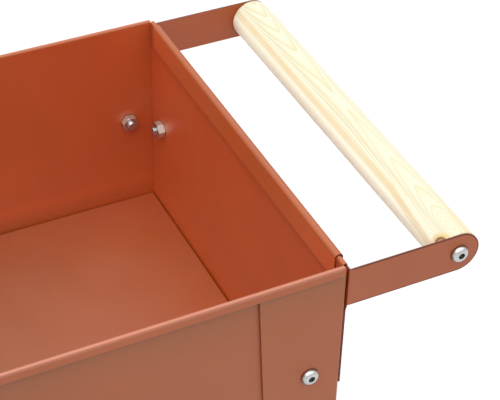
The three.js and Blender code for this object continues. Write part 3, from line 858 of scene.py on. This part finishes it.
class PLANTER_OT_brackets(bpy.types.Operator):
    """Handle brackets: a hook, a plate with a joggle and two arms from one sheet"""

    bl_idname = "planter.brackets"
    bl_label = "Handle brackets"

    def execute(self, context):
        sheet = context.scene.planter_sheet
        handle = context.scene.planter_handle
        half = sheet.bracket / 2
        arm_low = DOWEL_CENTRE.z - handle.arm_width / 2
        arm_high = DOWEL_CENTRE.z + handle.arm_width / 2
        joggle = arm_low - handle.joggle_gap
        joggle_foot = joggle - handle.joggle_run
        plate = LEG_HIGH.x + half
        raised = END_HIGH.x + sheet.seam + half
        lip = BRACKET_LOW.x + half
        top = BRACKET_HIGH.z - half
        hook = LEG_HIGH.y - handle.hook_setback
        face = BRACKET_HIGH.y - half
        root = face - sheet.bracket_bend
        for end, sign in ENDS:
            bm = bmesh.new()
            edges = polyline(bm, [
                (lip, -hook, PANEL_HIGH.z - handle.lip), (lip, -hook, top), (raised, -hook, top),
                (raised, -hook, arm_high), (raised, -hook, arm_low), (raised, -hook, joggle),
                (plate, -hook, joggle_foot), (plate, -hook, BRACKET_LOW.z)])
            sweep(bm, edges, (0, 2 * hook, 0))
            for way in (-1, 1):
                outer = edges_at(bm.edges, lambda p: p.z < arm_high + TOUCH and p.x > lip + MM, y=way * hook)
                widened = sweep(bm, outer, (0, way * (root - hook), 0))
                foot = edges_at(bm.edges, lambda p: p.z < joggle_foot + TOUCH, y=way * root)
                sweep(bm, foot, (0, way * (LEG_HIGH.y - handle.plate_setback - root), 0))
                arm_root = edges_at(widened, lambda p: p.z > arm_low - TOUCH, y=way * root)
                fold = sweep(bm, arm_root, (0, way * (face - root), 0))
                tip = sweep(bm, edges_at(fold, y=way * face), (BRACKET_HIGH.x - raised, 0, 0))
                corners = dict.fromkeys(v for e in tip for v in e.verts if near(v.co, "x", BRACKET_HIGH.x))
                soften(bm, list(corners), handle.arm_width / 2 - 2 * SLACK, 18, "VERTICES")
                soften(bm, edges_at(bm.edges, x=raised, y=way * face), sheet.bracket_bend, sheet.bend_steps)
            soften(bm, edges_at(bm.edges, z=top), (raised - lip) / 2 - SLACK, sheet.bend_steps)
            for height in (joggle, joggle_foot):
                soften(bm, edges_at(bm.edges, z=height), sheet.joggle_bend, 4)
            bmesh.ops.remove_doubles(bm, verts=bm.verts, dist=5 * SLACK)
            bmesh.ops.dissolve_limit(bm, angle_limit=math.radians(1), verts=bm.verts, edges=bm.edges)
            for way in (-1, 1):
                bolt_hole(bm, DOWEL_CENTRE.x, way * face, DOWEL_CENTRE.z, axis=Y_AXIS)
                bolt_hole(bm, plate, way * END_BOLT.y, END_BOLT.z, axis=X_AXIS)
            finish_sheet(f"bracket_sheet_{end}", bm, f"handle_bracket_{end}", sheet.bracket, sign, edge="shaded_cut_edge")
        return {"FINISHED"}


# The dowels' grain. Rings: growth lines round the dowel. Bow: length over which they bow by one. Pale side: where
# the paler wood begins about the dowel, pale sapwood that also stands as painted light on the dowel's shaded side.
# Knots: place along and about the dowel, size along and about it, swell of the lines, darkness. Streaks: from and to
# about the dowel, number of thin lines, strength
GRAIN = {
    "right": {
        "rings": 5.2, "bow": 81 * MM, "pale_side": 1.16, "wander": 0.42,
        "knots": ((-162 * MM, 0.1, 13 * MM, 0.42, 2.6, 0), (-173 * MM, 0.96, 6.3 * MM, 0.32, 1.2, 1)),
        "streaks": ((0.86, 1.16, 3, 1), (0.5, 0.56, 1, 0.35), (-0.95, -0.65, 3, 0.5)),
    },
    "left": {
        "rings": 4.4, "bow": 95 * MM, "pale_side": 1.3, "wander": 0.1,
        "knots": ((60 * MM, -0.3, 14 * MM, 0.4, 2.2, 0.5),),
        "streaks": ((-1.3, -0.95, 4, 0.7),),
    },
}


class PLANTER_OT_dowels(bpy.types.Operator):
    """Handle dowels: turned pine with chamfered ends, bored for the inserts"""

    bl_idname = "planter.dowels"
    bl_label = "Handle dowels"

    def execute(self, context):
        handle = context.scene.planter_handle
        radius = (DOWEL_HIGH.z - DOWEL_LOW.z) / 2
        reach = DOWEL_HIGH.y
        bore = handle.insert_bore / 2
        half = [(radius, reach - handle.chamfer), (radius - handle.chamfer, reach),
                (bore, reach), (bore, reach - handle.insert_depth), (0, reach - handle.insert_depth)]
        for end, sign in ENDS:
            centre = Vector((sign * DOWEL_CENTRE.x, 0, DOWEL_CENTRE.z))
            bm = turned([(r, -y) for r, y in reversed(half)] + half, 96)
            placed(bm, aim("y", 1, centre))
            make_material(f"pine_{end}", pine, centre, GRAIN[end], context.scene.planter_colours)
            finish_piece(f"grip_{end}", bm, f"handle_dowel_{end}", [f"pine_{end}"],
                         rounding(0.5 * MM, 3, 30))
        return {"FINISHED"}


class PLANTER_OT_inserts(bpy.types.Operator):
    """Threaded inserts: the frame's own solids with turned brass"""

    bl_idname = "planter.inserts"
    bl_label = "Threaded inserts"

    def execute(self, context):
        for corner, _, _ in CORNERS:
            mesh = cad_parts[f"dowel_insert_{corner}"].data
            mesh.materials.clear()
            mesh.materials.append(material("brass_turned"))
        return {"FINISHED"}


# A tooth of a thread, in pitches: its depth, and how far down the crest ends and the root begins and ends
TOOTH = (0.54, 0.15, 0.5, 0.65)


def threaded(top, bottom, radius, pitch):
    """Crests and roots of a thread between two heights, from the top down"""
    depth, crest_end, root_start, root_end = (share * pitch for share in TOOTH)
    points = []
    for i in range(int((top - bottom) / pitch)):
        z = top - i * pitch
        points += [(radius, z), (radius, z - crest_end), (radius - depth, z - root_start),
                   (radius - depth, z - root_end)]
    return points


def grow(bm, edges, factor, rise):
    """Extrudes a ring about Z, scales the new ring and lifts it; gives back the new ring's edges and corners"""
    new = bmesh.ops.extrude_edge_only(bm, edges=edges)["geom"]
    verts = verts_in(new)
    bmesh.ops.scale(bm, verts=verts, vec=(factor, factor, 1))
    bmesh.ops.translate(bm, verts=verts, vec=(0, 0, rise))
    ends = set(verts)
    return [e for e in edges_in(new) if ends.issuperset(e.verts)], verts


def make_hexagon(bm, verts):
    """Moves the vertices of a ring about Z out to the hexagon round it"""
    for vert in verts:
        off_middle = (math.atan2(vert.co.y, vert.co.x) + math.pi / 6) % (math.pi / 3) - math.pi / 6
        bmesh.ops.scale(bm, verts=[vert], vec=(1 / math.cos(off_middle), 1 / math.cos(off_middle), 1))


def make_bolt(parts, shank, tail):
    """A button-head bolt along +Z, its seat at height 0, with a thread on its tail and a hexagon socket"""
    head = parts.head / 2
    flat = parts.head_flat / 2
    radius = parts.thread / 2
    shoulder, rim = head - 0.2 * MM, 0.9 * MM  # Radius and height at which the dome begins
    fullness = 0.9  # Below 1 the dome is fuller than an ellipse
    tip_depth, tip_height = 0.5 * MM, 0.7 * MM  # Chamfer of the tip
    cone = 0.6 * MM  # Depth of the cone below the socket
    steps = 14
    dome = []
    for turn in (math.pi / 2 * i / steps for i in range(steps + 1)):
        dome.append((flat + (shoulder - flat) * max(math.cos(turn), 0) ** fullness,
                     rim + (parts.head_height - rim) * math.sin(turn)))
    # From the chamfered tip up the thread and the shank, then out under the head and round its rim
    points = [(0, -shank), (radius - tip_depth, -shank), (radius, -shank + tip_height)]
    points += reversed(threaded(-shank + tail, -shank + 0.9 * MM, radius, parts.pitch))
    points += [(radius, -shank + tail + 0.3 * MM), (radius, 0), (head - 0.7 * MM, 0),
               (head - 0.3 * MM, 0.25 * MM), (head - 0.22 * MM, 0.6 * MM), *dome]
    bm = turned(points, 48)
    mouth = edges_at(bm.edges, lambda p: abs(p.xy.length - flat) < TOUCH, z=parts.head_height)
    mouth, corners = grow(bm, mouth, parts.socket / 2 / flat, 0)
    make_hexagon(bm, corners)
    floor, _ = grow(bm, mouth, 1, -parts.socket_depth)
    grow(bm, floor, 0, -cone)
    # Faces in the socket take the darker finish: painted shade in the hollow, with a duller plating
    for face in bm.faces:
        centre = face.calc_center_median()
        in_socket = 0 < centre.z < parts.head_height - 0.1 * MM and centre.xy.length < parts.socket / 2 + 0.1 * MM
        face.material_index = int(in_socket)
    return bm


def make_nut(parts, height):
    """A hexagon nut along +Z, its seat at height 0, its corners turned down at both ends"""
    apothem = parts.nut / 2
    land = apothem * 0.98
    bore = parts.thread / 2 + 0.1 * MM
    mouth = bore + 0.45 * MM
    middle_up = height / 2
    bm = bmesh.new()
    seat = Matrix.Translation((0, 0, -middle_up))
    ring = bmesh.ops.create_circle(bm, segments=96, radius=land, matrix=seat)["verts"]
    start = list(dict.fromkeys(e for v in ring for e in v.link_edges))
    rim, corners = grow(bm, start, apothem / land, 0)
    make_hexagon(bm, corners)
    for vert in corners:
        vert.co.z = (vert.co.xy.length - land) * math.tan(math.radians(30)) - middle_up
    _, belt = grow(bm, rim, 1, 0)
    for vert in belt:
        vert.co.z = 0
    inner, _ = grow(bm, start, mouth / land, 0)
    inner, _ = grow(bm, inner, bore / mouth, mouth - bore)
    grow(bm, inner, 1, middle_up - (mouth - bore))
    bmesh.ops.mirror(bm, geom=[*bm.verts, *bm.edges, *bm.faces], merge_dist=TOUCH, axis="Z")
    bmesh.ops.translate(bm, verts=bm.verts, vec=(0, 0, middle_up))
    bm.normal_update()
    for face in bm.faces:
        face.material_index = int(abs(face.normal.z) > 0.5)
    return bm


def sites(kind, axis, driven, at_back, at_left):
    """The fasteners of a kind: corner, sign of the way out, outer end, length and turn. All are driven round by some
    degrees, and on by some more at the back and at the left"""
    way = "xy".index(axis)
    for side, sign_y in SIDES:
        for end, sign_x in ENDS:
            low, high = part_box(f"{kind}_{side}_{end}")
            sign = (sign_x, sign_y)[way]
            place = (low + high) / 2
            place[way] = high[way] if sign > 0 else low[way]
            turn = math.radians(driven + (at_back if side == "back" else 0) + (at_left if end == "left" else 0))
            yield f"{side}_{end}", sign, place, high[way] - low[way], turn


class PLANTER_OT_bolts(bpy.types.Operator):
    """Button-head bolts: two in each corner and one in each end of a dowel"""

    bl_idname = "planter.bolts"
    bl_label = "Bolts"

    def execute(self, context):
        parts = context.scene.planter_fasteners
        # Kind, axis, length of the thread in millimetres and how far the bolt is driven round, in degrees
        kinds = (("side_bolt", "y", 5.2, 3.7), ("end_bolt", "x", 5.2, 41), ("handle_bolt", "y", 18, 25.3))
        for kind, axis, tail, driven in kinds:
            for corner, sign, place, size, turn in sites(kind, axis, driven, at_back=23, at_left=31):
                bm = make_bolt(parts, size - parts.head_height, tail * MM)
                place["xy".index(axis)] -= sign * parts.head_height
                placed(bm, aim(axis, sign, place, turn))
                finish_piece(f"{kind}_zinc_{corner}", bm, f"{kind}_{corner}", ["zinc", "socket_dull_and_shade"],
                             rounding(0.12 * MM, 2, 35))
        return {"FINISHED"}


class PLANTER_OT_nuts(bpy.types.Operator):
    """Hexagon nuts inside the walls"""

    bl_idname = "planter.nuts"
    bl_label = "Nuts"

    def execute(self, context):
        parts = context.scene.planter_fasteners
        for kind, axis, driven in (("side_nut", "y", 39.5), ("end_nut", "x", 26)):
            for corner, sign, place, size, turn in sites(kind, axis, driven, at_back=-19, at_left=11):
                bm = make_nut(parts, size)
                placed(bm, aim(axis, -sign, place, turn))
                finish_piece(f"{kind}_zinc_{corner}", bm, f"{kind}_{corner}", ["zinc_nut", "zinc"],
                             rounding(0.3 * MM, 2, 25))
        return {"FINISHED"}


class PLANTER_OT_stage(bpy.types.Operator):
    """Pale floor, soft light from all round, a soft key light and the camera"""

    bl_idname = "planter.stage"
    bl_label = "Studio"

    def execute(self, context):
        studio = context.scene.planter_studio
        self.ground(context, studio)
        self.sky(context, studio)
        self.lamp(context, studio)
        self.camera(context, studio)
        context.scene.view_settings.view_transform = "Standard"
        return {"FINISHED"}

    def ground(self, context, studio):
        bm = bmesh.new()
        bmesh.ops.create_grid(bm, x_segments=1, y_segments=1, size=studio.floor_reach)
        mesh = bpy.data.meshes.new("studio_floor")
        bm.to_mesh(mesh)
        bm.free()
        mesh.materials.append(material("studio_floor"))
        ground = bpy.data.objects.new("studio_floor", mesh)
        context.collection.objects.link(ground)

    def sky(self, context, studio):
        """Light that grows with the square of the height above the horizon"""
        world = bpy.data.worlds.new("studio")
        world.use_nodes = True
        context.scene.world = world
        nodes = world.node_tree.nodes
        height = axes(Signal(nodes.new("ShaderNodeTexCoord").outputs["Generated"]))[2].most(0) ** 2
        feed(nodes["Background"], Color=(1, 1, 1, 1), Strength=height.ranged(0, 1, studio.horizon, studio.zenith))

    def lamp(self, context, studio):
        """A square lamp that faces the box's rim"""
        light = bpy.data.lights.new("key", "AREA")
        light.energy = studio.key
        light.size = studio.key_size
        lamp = bpy.data.objects.new("key", light)
        context.collection.objects.link(lamp)
        lamp.location = studio.key_place
        facing = Vector(studio.key_place) - Vector(studio.key_target)
        lamp.rotation_euler = facing.to_track_quat("Z", "Y").to_euler()

    def camera(self, context, studio):
        lens = bpy.data.cameras.new("camera")
        lens.lens = studio.focal
        lens.sensor_width = 36
        lens.clip_start = 0.05
        camera = bpy.data.objects.new("camera", lens)
        context.collection.objects.link(camera)
        turned_to = Matrix.Rotation(-studio.turn, 4, "Z") @ Matrix.Rotation(math.pi / 2 - studio.tilt, 4, "X")
        camera.matrix_world = Matrix.Translation(studio.eye) @ turned_to @ Matrix.Rotation(studio.roll, 4, "Z")
        context.scene.camera = camera


class PLANTER_PT_build(bpy.types.Panel):
    """Buttons for the planter's pieces and its studio"""

    bl_label = "Elevated planter"
    bl_space_type = "VIEW_3D"
    bl_region_type = "UI"
    bl_category = "Planter"

    def draw(self, context):
        for operator in OPERATORS:
            self.layout.operator(operator.bl_idname)


GROUPS = {
    "planter_sheet": PlanterSheet,
    "planter_legs": PlanterLegs,
    "planter_handle": PlanterHandle,
    "planter_fasteners": PlanterFasteners,
    "planter_colours": PlanterColours,
    "planter_studio": PlanterStudio,
}
OPERATORS = (
    PLANTER_OT_stage, PLANTER_OT_side_panels, PLANTER_OT_end_panels, PLANTER_OT_floor, PLANTER_OT_legs,
    PLANTER_OT_foot_caps, PLANTER_OT_brackets, PLANTER_OT_dowels, PLANTER_OT_inserts, PLANTER_OT_bolts,
    PLANTER_OT_nuts,
)


def register():
    for cls in (*GROUPS.values(), *OPERATORS, PLANTER_PT_build):
        bpy.utils.register_class(cls)
    for name, group in GROUPS.items():
        setattr(bpy.types.Scene, name, bpy.props.PointerProperty(type=group))


def unregister():
    for name in GROUPS:
        delattr(bpy.types.Scene, name)
    for cls in reversed((*GROUPS.values(), *OPERATORS, PLANTER_PT_build)):
        bpy.utils.unregister_class(cls)


def main():
    register()
    bpy.ops.planter.stage()
    bpy.ops.planter.side_panels()
    bpy.ops.planter.end_panels()
    bpy.ops.planter.floor()
    bpy.ops.planter.legs()
    bpy.ops.planter.foot_caps()
    bpy.ops.planter.brackets()
    bpy.ops.planter.dowels()
    bpy.ops.planter.inserts()
    bpy.ops.planter.bolts()
    bpy.ops.planter.nuts()


if __name__ == "__main__":
    main()
